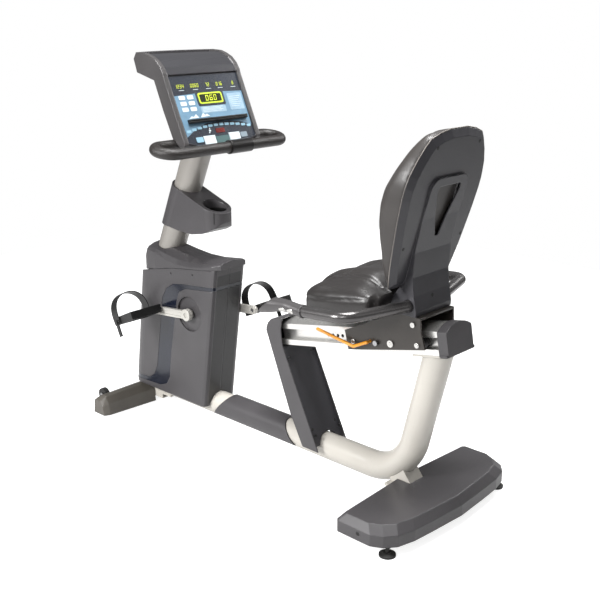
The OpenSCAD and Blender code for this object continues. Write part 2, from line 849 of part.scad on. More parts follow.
// printed face plate with a pocket for each key
module console_overlay() color(blue) {
  on_panel() translate([0, 0, -3]) linear_extrude(height = 3) difference() {
    polygon(concat(
      [[-226, -154.8], [-226, 154.8]],
      [for (t = [1:-0.1:-1.01]) [4 + chin_bow * (1 - t * t), 154.8 * t]]
    ));
    for (k = [0:4]) key_shape(k, 0.4);
  }
}

module key(k) {
  on_panel() translate([0, 0, -3]) linear_extrude(height = 4.6) key_shape(k, 0);
}

module key_1() color(blue) key(0);
module key_2() color(white) key(1);
module key_3() color(slate) key(2);
module key_4() color(white) key(3);
module key_5() color(grey) key(4);

// low bar on the face that holds a book or a telephone
module reading_ledge() color(black) {
  on_panel() difference() {
    translate([0, -128, 0]) rotate([-90, 0, 0]) linear_extrude(height = 262)
      polygon([[-58, 0], [-72, 0], [-70, -14], [-62, -16], [-58, -12]]);
    translate([-66, -140, 12]) cube([5, 290, 8]);
  }
}

// ---------------------------------------------------------------- seat

roller_s = [340, 582];

// side plates, top plate, seat pan and the sleeve of the latch pin
module seat_carriage() color(umber) {
  difference() {
    union() {
      both_sides() profile(78, 84) polygon([
        [390, 493], [374, 553], [466, 598], [581, 650], [657, 650], [659, 612], [676, 561]
      ]);
      profile(-84, 84) polygon([[468, 596], [581, 645], [657, 645], [657, 651], [579, 651], [466, 601]]);
      both_sides() profile(60, 66) polygon([
        [470, 600], [546, 634], [546, 676], [322, 637], [352, 618]
      ]);
      profile(-150, 150) polygon([[306, 634], [548, 676.2], [548, 680.2], [306, 638]]);
      translate([356, -150, 610]) cube([54, 20, 35]);
      on_rail() translate([430, -79, 36]) rotate([-90, 0, 0]) cylinder(r = 10, h = 18);
    }
    on_rail() {
      translate([430, -120, 36]) rotate([-90, 0, 0]) cylinder(r = 5.05, h = 80);
      for (s = concat(roller_s, [484]))
        translate([s, -120, 36]) rotate([-90, 0, 0]) cylinder(r = 5, h = 240);
    }
    cross_bar(lever_x, lever_z, 5.05, -120, -60);
  }
}

// roller axle bolts, plate bolts and the screws of the backrest shell
module seat_bolts() color(silver) {
  both_sides() {
    on_rail() for (s = concat(roller_s, [484])) translate([s, 0, 36]) rotate([-90, 0, 0]) {
      translate([0, 0, s == 484 ? 72 : 37]) cylinder(r = 5, h = s == 484 ? 18 : 53);
      translate([0, 0, 84]) cylinder(r = s == 484 ? 11 : 8, h = 5);
    }
    translate([632, 84, 628]) rotate([-90, 0, 0]) cylinder(r = 8, h = 5);
  }
}

module roller_pair(s) {
  on_rail() both_sides() translate([s, 38, roller_h]) rotate([-90, 0, 0]) difference() {
    cylinder(r = roller_r, h = 16);
    translate([0, 0, -1]) cylinder(r = 5.05, h = 18);
  }
}

module front_rollers() color(black) roller_pair(roller_s[0]);
module rear_rollers() color(black) roller_pair(roller_s[1]);

module latch_pin() color(steel) {
  on_rail() translate([430, -94, 36]) rotate([-90, 0, 0]) {
    cylinder(r = 5, h = 56);
    cylinder(r = 8, h = 5);
  }
}

function lever_rod() = [[lever_x, lever_z], [424, 516], [277, 538]];

// bent rod the rider lifts to free the seat
module seat_lever() color(orange) {
  cross_bar(lever_x, lever_z, 5, -101, -68);
  rod = lever_rod();
  for (i = [0:len(rod) - 2]) {
    d = rod[i + 1] - rod[i];
    translate([rod[i][0], -101, rod[i][1]]) rotate([0, atan2(d[0], d[1]), 0])
      cylinder(r = 5, h = norm(d));
    translate([rod[i + 1][0], -101, rod[i + 1][1]]) sphere(r = 5.2);
  }
  translate([lever_x, -101, lever_z]) sphere(r = 5.2);
}

// x, half-width, height of the rounded edge above the pan and height of the crown
cushion_stations = [
  [291, 0.73, 30, 44], [296, 0.84, 40, 58], [306, 0.91, 46, 70], [324, 0.96, 48, 80],
  [350, 0.985, 48, 86], [400, 1, 46, 90], [450, 1, 44, 92], [495, 0.99, 42, 88],
  [525, 0.98, 40, 72], [545, 0.965, 38, 56], [556, 0.95, 36, 46], [557, 0.84, 34, 44],
  [572, 0.82, 30, 38]
];

function pan_z(x) = 638.2 + (x - 306) * 0.1745;

function cushion_ring(s) = let (
  h = s[1] * cushion_half,
  pan = pan_z(s[0]),
  edge = pan + s[2],
  rise = s[3] - s[2],
  side = [
    [h * 0.94, pan - 24], [h, pan - 15], [h, edge - 12], [h * 0.965, edge], [h * 0.86, edge + rise * 0.3],
    [h * 0.66, edge + rise * 0.5], [h * 0.58, edge + rise * 0.8], [h * 0.38, edge + rise + 2]
  ]
) concat(
  [for (p = side) [s[0], p[0], p[1]]],
  [[s[0], 0, edge + rise - 4]],
  [for (i = [len(side) - 1:-1:0]) [s[0], -side[i][0], side[i][1]]]
);

// its skirt hangs round the pan, and a notch at the back clears the foot of the backrest
module seat_cushion() color(vinyl) {
  difference() {
    loft([for (s = cushion_stations) cushion_ring(s)]);
    profile(-151, 151) polygon([
      [304.5, 500], [304.5, pan_z(304.5)], [700, pan_z(700)], [700, 500]
    ]);
    translate([548, -96, 600]) cube([60, 192, 200]);
  }
}

// height up the recline and half-width of the shell there, as a share of the widest
back_edge = [
  [74, 0.70], [78, 0.765], [110, 0.81], [150, 0.86], [210, 0.91], [290, 0.97], [360, 1],
  [395, 0.995], [430, 0.955], [470, 0.86], [505, 0.745], [526, 0.655], [540, 0.45], [548, 0.22]
];

function back_ring(x, inset) = let (
  k = 1 - inset / back_half,
  m = 1 - inset / 240,
  side = [for (e = back_edge) [e[1] * back_half * k, 312 + (e[0] - 312) * m]]
) concat(
  [for (e = side) [x, e[0], e[1]]],
  [for (i = [len(side) - 1:-1:0]) [x, -side[i][0], side[i][1]]]
);

spine = [
  [552, 652], [642, 652], [643, 668], [634, 712], [628, 767], [632, 840], [654, 939],
  [690, 1056], [672, 1056], [642, 955], [611, 840], [584, 735], [552, 692]
];
spine_hollow = [
  [556, 651], [638, 651], [639, 668], [630, 712], [624, 767], [628, 840], [650, 939],
  [684, 1052], [660, 1052], [630, 955], [598, 840], [574, 750], [579, 735], [556, 700]
];

// hand-hold through the shell, in the backrest's frame
module hand_hold() {
  translate([-4, 0, 0]) rotate([90, 0, 90]) linear_extrude(height = 60)
    polygon([[-8, 232], [8, 232], [54, 372], [50, 388], [-50, 388], [-54, 372]]);
}

// a bar along the backrest's x with an arched top, which rounds the corners of the spine
module arched(half, top, r) {
  translate([-60, 0, 0]) rotate([90, 0, 90]) linear_extrude(height = 160) polygon(concat(
    [[half, -60]],
    [for (a = [0:15:90]) [half - r + r * cos(a), top - r + r * sin(a)]],
    [for (a = [90:15:180]) [r - half + r * cos(a), top - r + r * sin(a)]],
    [[-half, -60]]
  ));
}

// moulded back shell with a raised spine that runs down into the foot
module backrest_shell() color(slate) {
  difference() {
    union() {
      difference() {
        on_back() loft([back_ring(-14, 0), back_ring(-2, 19), back_ring(0, 22)]);
        on_back() loft([back_ring(-15, 3), back_ring(-3.2, 22)]);
      }
      intersection() {
        profile(-88, 88) polygon(spine);
        on_back() arched(88, 414, 34);
      }
    }
    intersection() {
      profile(-84, 84) polygon(spine_hollow);
      on_back() arched(84, 410, 30);
    }
    on_back() hand_hold();
    on_back() for (y = [-80.2, 55.8]) translate([-12.2, y, -4]) cube([8.4, 24.4, 420.2]);
    cross_bar(bar_root[0], bar_root[2], bar_d / 2 + 1, -120, 120);
  }
}

// height up the back, half-width as a share of the shell's, and thickness
pad_stations = [
  [75, 0.69, 10], [80, 0.75, 15], [110, 0.8, 28], [150, 0.85, 46], [210, 0.9, 68], [260, 0.94, 82],
  [310, 0.965, 88], [360, 0.985, 84], [395, 0.98, 74], [430, 0.94, 65], [470, 0.85, 54],
  [505, 0.73, 42], [526, 0.64, 34], [540, 0.44, 24], [546, 0.24, 16]
];

function pad_ring(s) = let (
  w = s[1] * back_half,
  d = s[2],
  side = [
    [w, 0], [w, -0.3 * d], [0.985 * w, -0.6 * d],
    [0.93 * w, -0.84 * d], [0.75 * w, -d], [0.45 * w, -0.95 * d]
  ]
) concat(
  [for (p = side) [p[1] - 14.3, p[0], s[0]]],
  [[-14.3 - 0.9 * d, 0, s[0]]],
  [for (i = [len(side) - 1:-1:0]) [side[i][1] - 14.3, -side[i][0], s[0]]]
);

module backrest_cushion() color(vinyl) {
  on_back() loft([for (s = pad_stations) pad_ring(s)]);
}

// two flat steel bars on a base plate, inside the shell
module backrest_frame() color(steel) {
  translate([558, -82, 651]) cube([78, 164, 5]);
  difference() {
    for (y = [-80, 56]) on_back() translate([-12, y, -4]) cube([8, 24, 420]);
    translate([500, -100, 600]) cube([200, 200, 51.1]);
  }
  difference() {
    translate([601, -40, 656]) cube([28, 80, 14]);
    cross_bar(bar_root[0], bar_root[2], bar_d / 2, -60, 60);
  }
}

bar_bend = 55;
bar_sweep = 19;
bar_straight = 88;
bar_ease = 40;
bar_run_y = bar_straight + bar_ease * sin(bar_sweep);
bar_run_x = -bar_ease * (1 - cos(bar_sweep));
bar_run = (bar_y - bar_run_y - bar_bend * (1 - sin(bar_sweep))) / cos(bar_sweep);
bar_turn_x = bar_run_x - bar_run * sin(bar_sweep) - bar_bend * cos(bar_sweep);
bar_front = -(bar_root[0] - grip_end) / cos(bar_tilt);

// seat handlebar plane: x rearward and y across, falling slightly to the front
module bar_frame() {
  translate(bar_root) rotate([0, -bar_tilt, 0]) children();
}

// one tube from grip to grip, passing through the backrest's foot
module seat_handlebar() color(bronze) {
  bend = bar_d / 2 + bend_step;
  bar_frame() {
    rotate([-90, 0, 0]) translate([0, 0, -bar_straight - bend_lap])
      cylinder(d = bar_d, h = 2 * (bar_straight + bend_lap));
    for (s = [-1, 1]) {
      translate([-bar_ease, s * bar_straight, 0]) rotate([0, 0, s > 0 ? 0 : -bar_sweep])
        rotate_extrude(angle = bar_sweep) translate([bar_ease, 0]) circle(r = bend);
      translate([bar_run_x, s * bar_run_y, 0]) rotate([0, 0, s * bar_sweep])
        rotate([-90 * s, 0, 0]) translate([0, 0, -bend_lap])
          cylinder(d = bar_d, h = bar_run + 2 * bend_lap);
      translate([bar_turn_x, s * (bar_y - bar_bend), 0]) rotate([0, 0, s > 0 ? bar_sweep : -90])
        rotate_extrude(angle = 90 - bar_sweep) translate([bar_bend, 0]) circle(r = bend);
      translate([bar_front, s * bar_y, 0]) rotate([0, 90, 0])
        cylinder(d = bar_d, h = bar_turn_x - bar_front + bend_lap);
    }
  }
}

// x, centre height, half-height and half-width of the grip
grip_stations = [
  [-10, 0, 18.5, 18.5], [-40, 4, 18.5, 18.5], [-66, 9, 17.5, 19], [-98, 8, 20, 21],
  [-135, 5, 25, 25], [-184, 3, 29, 28]
];

function grip_ring(s) = [
  for (a = [340:-20:0]) [bar_front + s[0], bar_y + s[3] * cos(a), s[1] + s[2] * sin(a)]
];

// collar and flared grip with a slanted front end
module seat_grips() color(bronze) {
  bar_frame() both_sides() {
    translate([bar_front - 10, bar_y, 0]) rotate([0, 90, 0]) cylinder(r = 20, h = 10);
    difference() {
      loft([for (s = grip_stations) grip_ring(s)]);
      translate([bar_front, 0, 0]) profile(200, 400)
        polygon([[-182, -24], [-112, 31], [-112, 60], [-230, 60], [-230, -24]]);
    }
  }
}

// screws that hold the plastic covers to the frame
module cover_screws() color(black) {
  both_sides() {
    cross_bar(-470, 572, 4, 69, 73);
    cross_bar(-350, 588, 4, 69, 73);
    cross_bar(640, 55, 6, 322.8, 325);
    translate([231, 60, 143]) rotate([0, 65, 0]) cylinder(r = 4, h = 6);
    translate([112, 60, 388]) rotate([0, 65, 0]) cylinder(r = 4, h = 6);
  }
}

main_tube();
rear_frame();
rear_cover();
front_frame();
front_beam();
front_feet();
front_cover_left();
front_cover_right();
wheel_brackets();
tube_cover();
seat_strut();
strut_cover();
seat_rail();
rail_end_cap();
housing_left();
housing_right();
housing_cap();
housing_trim();
crank_bearings();
brake_unit();
drive_belt();
mast();
cup_holder();
console_back();
console_bezel();
console_overlay();
reading_ledge();
front_handlebar();
front_grips();
cover_screws();
crank_axle();
drive_pulley();
crank_arms();
pedal_spindles();
pedal_left();
pedal_right();
strap_left();
strap_right();
flywheel();
wheel_left();
wheel_right();
foot_left();
foot_right();
seat_carriage();
seat_cushion();
backrest_frame();
backrest_shell();
backrest_cushion();
seat_handlebar();
seat_grips();
seat_bolts();
front_rollers();
rear_rollers();
seat_lever();
latch_pin();
key_1();
key_2();
key_3();
key_4();
key_5();
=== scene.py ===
import math

import bmesh
import bpy
from mathutils import Matrix, Vector, noise
from mathutils.bvhtree import BVHTree


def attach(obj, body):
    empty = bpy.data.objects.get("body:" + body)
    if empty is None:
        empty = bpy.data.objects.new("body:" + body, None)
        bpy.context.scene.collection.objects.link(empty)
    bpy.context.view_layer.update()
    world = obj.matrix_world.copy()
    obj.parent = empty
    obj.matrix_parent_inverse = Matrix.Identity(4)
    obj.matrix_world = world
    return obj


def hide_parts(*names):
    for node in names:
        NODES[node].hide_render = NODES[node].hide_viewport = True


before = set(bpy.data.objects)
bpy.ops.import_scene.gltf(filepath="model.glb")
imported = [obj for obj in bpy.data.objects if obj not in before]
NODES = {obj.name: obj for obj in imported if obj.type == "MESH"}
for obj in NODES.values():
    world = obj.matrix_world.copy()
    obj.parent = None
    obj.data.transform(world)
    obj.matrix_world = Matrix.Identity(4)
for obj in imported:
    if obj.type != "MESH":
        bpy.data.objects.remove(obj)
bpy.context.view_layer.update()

scene = bpy.context.scene


# ------------------------------------------------------------------ materials


def material(name, color, rough, metal=0.0, shade=0.08, grain=700.0, bump=0.15,
             depth=0.0004, coat=0.0, bevel=0.0008, glow=0.0, blotch=9.0):
    """A principled surface with uneven tone, grain in roughness and relief, and worn-round edges."""
    mat = bpy.data.materials.new(name)
    mat.use_nodes = True
    tree = mat.node_tree
    shader = tree.nodes["Principled BSDF"]
    coords = tree.nodes.new("ShaderNodeTexCoord")

    tone = tree.nodes.new("ShaderNodeTexNoise")
    tone.inputs["Scale"].default_value = blotch
    tone.inputs["Detail"].default_value = 6
    tree.links.new(coords.outputs["Object"], tone.inputs["Vector"])
    ramp = tree.nodes.new("ShaderNodeValToRGB")
    ramp.color_ramp.elements[0].position = 0.3
    ramp.color_ramp.elements[1].position = 0.7
    ramp.color_ramp.elements[0].color = [c * (1 - shade) for c in color] + [1]
    ramp.color_ramp.elements[1].color = [min(1, c * (1 + shade)) for c in color] + [1]
    tree.links.new(tone.outputs["Fac"], ramp.inputs["Fac"])
    tree.links.new(ramp.outputs["Color"], shader.inputs["Base Color"])

    fine = tree.nodes.new("ShaderNodeTexNoise")
    fine.inputs["Scale"].default_value = grain
    fine.inputs["Detail"].default_value = 3
    tree.links.new(coords.outputs["Object"], fine.inputs["Vector"])
    spread = tree.nodes.new("ShaderNodeMapRange")
    spread.inputs["To Min"].default_value = max(0.02, rough - 0.07)
    spread.inputs["To Max"].default_value = min(1, rough + 0.07)
    tree.links.new(fine.outputs["Fac"], spread.inputs["Value"])
    tree.links.new(spread.outputs["Result"], shader.inputs["Roughness"])

    relief = tree.nodes.new("ShaderNodeBump")
    relief.inputs["Strength"].default_value = bump
    relief.inputs["Distance"].default_value = depth
    tree.links.new(fine.outputs["Fac"], relief.inputs["Height"])
    if bevel:
        edge = tree.nodes.new("ShaderNodeBevel")
        edge.samples = 6
        edge.inputs["Radius"].default_value = bevel
        tree.links.new(edge.outputs["Normal"], relief.inputs["Normal"])
    tree.links.new(relief.outputs["Normal"], shader.inputs["Normal"])

    shader.inputs["Metallic"].default_value = metal
    shader.inputs["Coat Weight"].default_value = coat
    shader.inputs["Coat Roughness"].default_value = 0.12
    if glow:
        shader.inputs["Emission Color"].default_value = list(color) + [1]
        shader.inputs["Emission Strength"].default_value = glow
    return mat


CREAM = material("cream_paint", (0.5, 0.475, 0.43), 0.3, shade=0.03, grain=260, bump=0.05, coat=0.3)
MAST = material(
    "mast_paint", (0.27, 0.255, 0.235), 0.3,
    metal=0.2, shade=0.03, grain=260, bump=0.05, coat=0.2)
GREY = material("grey_plastic", (0.05, 0.047, 0.05), 0.4, grain=900, bump=0.3, bevel=0.005, coat=0.08)
SLATE = material("slate_plastic", (0.034, 0.033, 0.038), 0.42, grain=900, bump=0.3, bevel=0.004, coat=0.06)
OLIVE = material("olive_plastic", (0.085, 0.077, 0.066), 0.36, grain=700, bump=0.25, bevel=0.007, coat=0.1)
BRONZE = material(
    "bronze_plastic", (0.08, 0.076, 0.077), 0.32,
    metal=0.35, grain=1200, bump=0.1, bevel=0.006)
NAVY = material(
    "navy_gloss", (0.006, 0.008, 0.016), 0.2,
    shade=0.25, grain=300, bump=0.03, coat=0.25, bevel=0.002)
BLACK = material("black_nylon", (0.008, 0.008, 0.008), 0.36, shade=0.2, grain=800, bump=0.35, bevel=0.0015)
FOAM = material("black_foam", (0.016, 0.0135, 0.0125), 0.36, shade=0.2, grain=1500, bump=0.8, depth=0.0008)
RUBBER = material("rubber", (0.01, 0.0095, 0.009), 0.6, shade=0.25, grain=500, bump=0.5)
STEEL = material("steel", (0.42, 0.42, 0.43), 0.3, metal=1, grain=900, bump=0.1)
BAR = material("bar_paint", (0.11, 0.105, 0.105), 0.27, metal=0.75, grain=1400, bump=0.05)
CAST = material("cast_steel", (0.3, 0.3, 0.31), 0.45, metal=1, grain=400, bump=0.3)
CHROME = material("bright_bolts", (0.6, 0.59, 0.57), 0.25, metal=1, shade=0.06, grain=600, bump=0.1)
ALLOY = material("alloy", (0.75, 0.74, 0.72), 0.28, metal=0.9, shade=0.03, grain=1100, bump=0.08)
SILVER = material(
    "crank_paint", (0.48, 0.465, 0.43), 0.28,
    metal=0.25, shade=0.04, grain=500, bump=0.05, coat=0.3, bevel=0.003)
UMBER = material("umber_paint", (0.035, 0.03, 0.026), 0.33, metal=0.2, grain=700, bump=0.12, coat=0.15)
ORANGE = material("orange_paint", (0.8, 0.3, 0.015), 0.28, shade=0.05, grain=400, bump=0.05, coat=0.5)
VINYL = material(
    "seat_vinyl", (0.018, 0.016, 0.0155), 0.4,
    shade=0.12, grain=420, bump=0.45, coat=0.08, bevel=0)
VINYL_BACK = material(
    "back_vinyl", (0.036, 0.032, 0.03), 0.43,
    shade=0.1, grain=420, bump=0.45, coat=0.05, bevel=0)
PIPING = material("piping", (0.22, 0.2, 0.185), 0.35, grain=600, bump=0.3, bevel=0)
FACE = material("console_face", (0.022, 0.026, 0.036), 0.28, shade=0.1, grain=900, bump=0.05, coat=0.3)
FIELD = material("blue_field", (0.12, 0.22, 0.31), 0.33, shade=0.14, blotch=30, grain=900, bump=0.05)
PALE = material("pale_field", (0.24, 0.35, 0.44), 0.33, shade=0.12, blotch=40, grain=900, bump=0.05)
WHITE = material("white_print", (0.55, 0.62, 0.65), 0.35, shade=0.04, grain=900, bump=0.05)
KEY_BLUE = material("key_blue", (0.24, 0.42, 0.53), 0.35, grain=900, bump=0.05)
KEY_GREY = material("key_grey", (0.2, 0.25, 0.29), 0.35, grain=900, bump=0.05)
KEY_TEAL = material("key_teal", (0.05, 0.1, 0.1), 0.35, grain=900, bump=0.05)
LED = material("led_yellow_green", (0.56, 0.66, 0.015), 0.4, shade=0.1, grain=900, bump=0.02, glow=0.25)
LED_FRAME = material("led_frame", (0.4, 0.52, 0.02), 0.4, shade=0.1, grain=900, bump=0.02, glow=0.15)
GLASS_DARK = material("dark_window", (0.016, 0.02, 0.008), 0.2, shade=0.3, grain=300, bump=0.02, coat=0.3)
RED = material("red_window", (0.1, 0.012, 0.01), 0.25, shade=0.3, grain=300, bump=0.02)


def tinted_region(name, base, second, inside):
    """A copy of a material that turns to a second tone where every limit in `inside` holds."""
    mat = base.copy()
    mat.name = name
    tree = mat.node_tree
    shader = tree.nodes["Principled BSDF"]
    coords = tree.nodes.new("ShaderNodeTexCoord")
    split = tree.nodes.new("ShaderNodeSeparateXYZ")
    tree.links.new(coords.outputs["Object"], split.inputs["Vector"])
    mask = None
    for axis, least, most in inside:
        centre = tree.nodes.new("ShaderNodeMath")
        centre.operation = "COMPARE"
        centre.inputs[1].default_value = (least + most) / 2
        centre.inputs[2].default_value = (most - least) / 2
        tree.links.new(split.outputs[axis], centre.inputs[0])
        if mask is None:
            mask = centre.outputs[0]
        else:
            both = tree.nodes.new("ShaderNodeMath")
            both.operation = "MULTIPLY"
            tree.links.new(mask, both.inputs[0])
            tree.links.new(centre.outputs[0], both.inputs[1])
            mask = both.outputs[0]
    mix = tree.nodes.new("ShaderNodeMix")
    mix.data_type = "RGBA"
    mix.inputs["B"].default_value = [*second, 1]
    colour = shader.inputs["Base Color"].links[0].from_socket
    tree.links.new(mask, mix.inputs["Factor"])
    tree.links.new(colour, mix.inputs["A"])
    tree.links.new(mix.outputs["Result"], shader.inputs["Base Color"])
    return mat


# visor between the rails, then the dark nose between the two foam grips
VISOR = tinted_region("visor_plastic", BRONZE, (0.045, 0.045, 0.05), [("Y", -0.1551, 0.1551)])
NOSE = [("Y", -0.004, 0.095), ("Z", 1.0, 1.0715), ("X", -0.25, -0.15)]
BEZEL = tinted_region("bezel_plastic", VISOR, (0.012, 0.011, 0.011), NOSE)
SENSOR_PLATE = [("Y", -0.151, -0.129), ("Z", 0.605, 0.64)]
CARRIAGE = tinted_region("carriage_paint", UMBER, (0.7, 0.69, 0.66), SENSOR_PLATE)
# the depth of the cup well painted near black: painted shade inside the recess
WELL_SHADE = [("X", -0.345, -0.262), ("Y", -0.0425, 0.0425), ("Z", 0.78, 0.82)]
CUP_WITH_PAINTED_SHADE = tinted_region("cup_plastic_painted_well_shade", GREY, (0.006, 0.006, 0.006), WELL_SHADE)
# the housing's rear face between its rear corners painted darker: painted shade on the face turned away from
# the lamps
REAR_FACE_SHADE = [("X", -0.4, -0.1), ("Y", -0.056, 0.056), ("Z", 0.1, 0.6)]
HOUSING_WITH_PAINTED_SHADE = tinted_region("housing_plastic_painted_rear_shade", GREY, (0.014, 0.0135, 0.0145), REAR_FACE_SHADE)

FINISH = {
    CREAM: "main_tube rear_frame front_frame front_beam",
    MAST: "mast",
    GREY: "rear_cover tube_cover rail_end_cap housing_cap console_back seat_strut",
    HOUSING_WITH_PAINTED_SHADE: "housing_left housing_right",
    CUP_WITH_PAINTED_SHADE: "cup_holder",
    SLATE: "strut_cover backrest_shell brake_unit",
    OLIVE: "front_cover_left front_cover_right",
    BRONZE: "seat_grips",
    BEZEL: "console_bezel",
    NAVY: "housing_trim",
    BLACK: "pedal_left pedal_right strap_left strap_right reading_ledge cover_screws "
           "front_rollers rear_rollers",
    FOAM: "front_grips",
    RUBBER: "front_feet drive_belt wheel_left wheel_right foot_left foot_right",
    STEEL: "wheel_brackets crank_bearings front_handlebar crank_axle pedal_spindles backrest_frame latch_pin",
    BAR: "seat_handlebar",
    CAST: "flywheel",
    CHROME: "seat_bolts",
    ALLOY: "seat_rail drive_pulley",
    SILVER: "crank_arms",
    CARRIAGE: "seat_carriage",
    ORANGE: "seat_lever",
    VINYL: "seat_cushion",
    VINYL_BACK: "backrest_cushion",
    FACE: "console_overlay",
    KEY_BLUE: "key_1",
    WHITE: "key_2 key_4",
    KEY_TEAL: "key_3",
    KEY_GREY: "key_5",
}
for mat, names in FINISH.items():
    for name in names.split():
        obj = NODES[name]
        obj.data.materials.clear()
        obj.data.materials.append(mat)


# ------------------------------------------------------------------ building helpers


def piece(name, mesh, mat, body, smooth=True):
    """A new mesh object that moves with a CAD body."""
    obj = bpy.data.objects.new(name, mesh)
    scene.collection.objects.link(obj)
    mesh.materials.append(mat)
    for face in mesh.polygons:
        face.use_smooth = smooth
    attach(obj, body)
    return obj


def from_bmesh(name, bm, mat, body, smooth=True):
    mesh = bpy.data.meshes.new(name)
    bmesh.ops.recalc_face_normals(bm, faces=bm.faces)
    bm.to_mesh(mesh)
    bm.free()
    return piece(name, mesh, mat, body, smooth)


def tube(name, points, radius, mat, body, closed=False):
    """A round cord of piping along a list of points."""
    curve = bpy.data.curves.new(name, "CURVE")
    curve.dimensions = "3D"
    curve.bevel_depth = radius
    curve.bevel_resolution = 2
    line = curve.splines.new("POLY")
    line.points.add(len(points) - 1)
    for slot, p in zip(line.points, points):
        slot.co = (*p, 1)
    line.use_cyclic_u = closed
    temp = bpy.data.objects.new(name + "_curve", curve)
    scene.collection.objects.link(temp)
    mesh = bpy.data.meshes.new_from_object(temp.evaluated_get(bpy.context.evaluated_depsgraph_get()))
    bpy.data.objects.remove(temp)
    mesh.materials.clear()
    return piece(name, mesh, mat, body)


def evaluated_mesh(obj):
    return bpy.data.meshes.new_from_object(obj.evaluated_get(bpy.context.evaluated_depsgraph_get()))


# ------------------------------------------------------------------ cushions

PUFF_FRAMES = 16
PUFF_ROUNDS = 90
RECLINE = math.radians(15)
BACK_FOOT_X = 0.575
BACK_FOOT_Z = 0.658
OVAL_POINTS = 28


def relaxed(values, edges, rounds):
    """Averages a value over neighbouring points, which takes the puckers out of a puff."""
    for _ in range(rounds):
        total = list(values)
        count = [1] * len(values)
        for a, b in edges:
            total[a] += values[b]
            total[b] += values[a]
            count[a] += 1
            count[b] += 1
        values = [t / c for t, c in zip(total, count)]
    return values


def stuffed(name, node, mat, voxel, pressure, cap, shape=None):
    """A cushion blown up by cloth pressure from the CAD solid, with its sewn lines pressed in."""
    source = evaluated_mesh(NODES[node])
    obj = bpy.data.objects.new(name, source)
    scene.collection.objects.link(obj)
    remesh = obj.modifiers.new("remesh", "REMESH")
    remesh.mode = "VOXEL"
    remesh.voxel_size = voxel
    smooth = obj.modifiers.new("smooth", "SMOOTH")
    smooth.iterations = 14
    obj.data = evaluated_mesh(obj)
    obj.modifiers.clear()
    rest = [v.co.copy() for v in obj.data.vertices]
    outward = [v.normal.copy() for v in obj.data.vertices]
    cloth = obj.modifiers.new("cloth", "CLOTH")
    cloth.settings.use_pressure = True
    cloth.settings.uniform_pressure_force = pressure
    cloth.settings.effector_weights.gravity = 0
    cloth.settings.quality = 5
    cloth.point_cache.frame_start = 1
    cloth.point_cache.frame_end = PUFF_FRAMES
    for step in range(1, PUFF_FRAMES + 1):
        scene.frame_set(step)
    blown = evaluated_mesh(obj)
    obj.modifiers.clear()
    scene.frame_set(1)
    obj.data = blown
    puffs = [min(cap, (v.co - start).dot(n)) for v, start, n in zip(obj.data.vertices, rest, outward)]
    puffs = relaxed(puffs, [tuple(e.vertices) for e in obj.data.edges], PUFF_ROUNDS)
    for v, start, n, puff in zip(obj.data.vertices, rest, outward, puffs):
        v.co = start + n * puff
    if shape:
        obj.data.update()
        normals = [v.normal.copy() for v in obj.data.vertices]
        for v, n in zip(obj.data.vertices, normals):
            v.co = shape(v.co, n)
    mesh = obj.data
    bpy.data.objects.remove(obj)
    mesh.materials.clear()
    made = piece(name, mesh, mat, "carriage")
    fine = made.modifiers.new("subdivide", "SUBSURF")
    fine.levels = fine.render_levels = 1
    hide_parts(node)
    return made


def groove(distance, width, depth):
    return depth * math.exp(-(distance / width) ** 2)


def seat_shape(p, n):
    """Presses in the thigh seams, the welt round the edge and the seam in front of the tail."""
    top = max(0.0, n.z)
    sink = top * groove(abs(p.y) - 0.122, 0.006, 0.0055) * (1 if p.x < 0.545 else 0)
    above_pan = p.z - (0.638 + (p.x - 0.306) * 0.1745)
    sink += (1 - top) * groove(above_pan - 0.03, 0.0035, 0.003) * (1 if p.x < 0.55 else 0)
    sink += top * groove(p.x - 0.395 - 0.25 * p.y * p.y, 0.006, 0.003) * (1 if abs(p.y) < 0.122 else 0)
    wave = 0.0014 * noise.noise(p * 18)
    return p - n * (sink + wave)


def height_up_back(p):
    """How far a point lies up the recline, from the foot of the backrest."""
    return (p.x - BACK_FOOT_X) * math.sin(RECLINE) + (p.z - BACK_FOOT_Z) * math.cos(RECLINE)


def back_shape(p, n):
    """Two upright seams and two cross seams on the front of the backrest pad."""
    height = height_up_back(p)
    front = max(0.0, -n.x)
    line = 0.1 - 0.35 * (height - 0.31) ** 2
    sink = front * groove(abs(p.y) - line, 0.006, 0.006)
    for level in (0.2, 0.38):
        sink += front * groove(height - level, 0.006, 0.004) * (1 if abs(p.y) < line else 0)
    wave = 0.0012 * noise.noise(p * 16)
    return p - n * (sink + wave)


seat_pad = stuffed("seat_pad", "seat_cushion", VINYL, 0.006, 3.0, 0.007, seat_shape)
back_pad = stuffed("back_pad", "backrest_cushion", VINYL_BACK, 0.006, 3.0, 0.006, back_shape)


# ------------------------------------------------------------------ console face

PANEL_LEAN = math.radians(24.6)
PANEL = Matrix.Translation((-0.256, 0, 1.078)) @ Matrix((
    (0, -math.sin(PANEL_LEAN), math.cos(PANEL_LEAN), 0),
    (1, 0, 0, 0),
    (0, math.cos(PANEL_LEAN), math.sin(PANEL_LEAN), 0),
    (0, 0, 0, 1),
))


def rounded(width, height, corner, steps=5):
    points = []
    for k, (sx, sy) in enumerate(((1, 1), (-1, 1), (-1, -1), (1, -1))):
        for i in range(steps + 1):
            a = math.radians(90 * k + 90 * i / steps)
            points.append((sx * (width / 2 - corner) + corner * math.cos(a),
                           sy * (height / 2 - corner) + corner * math.sin(a)))
    return points


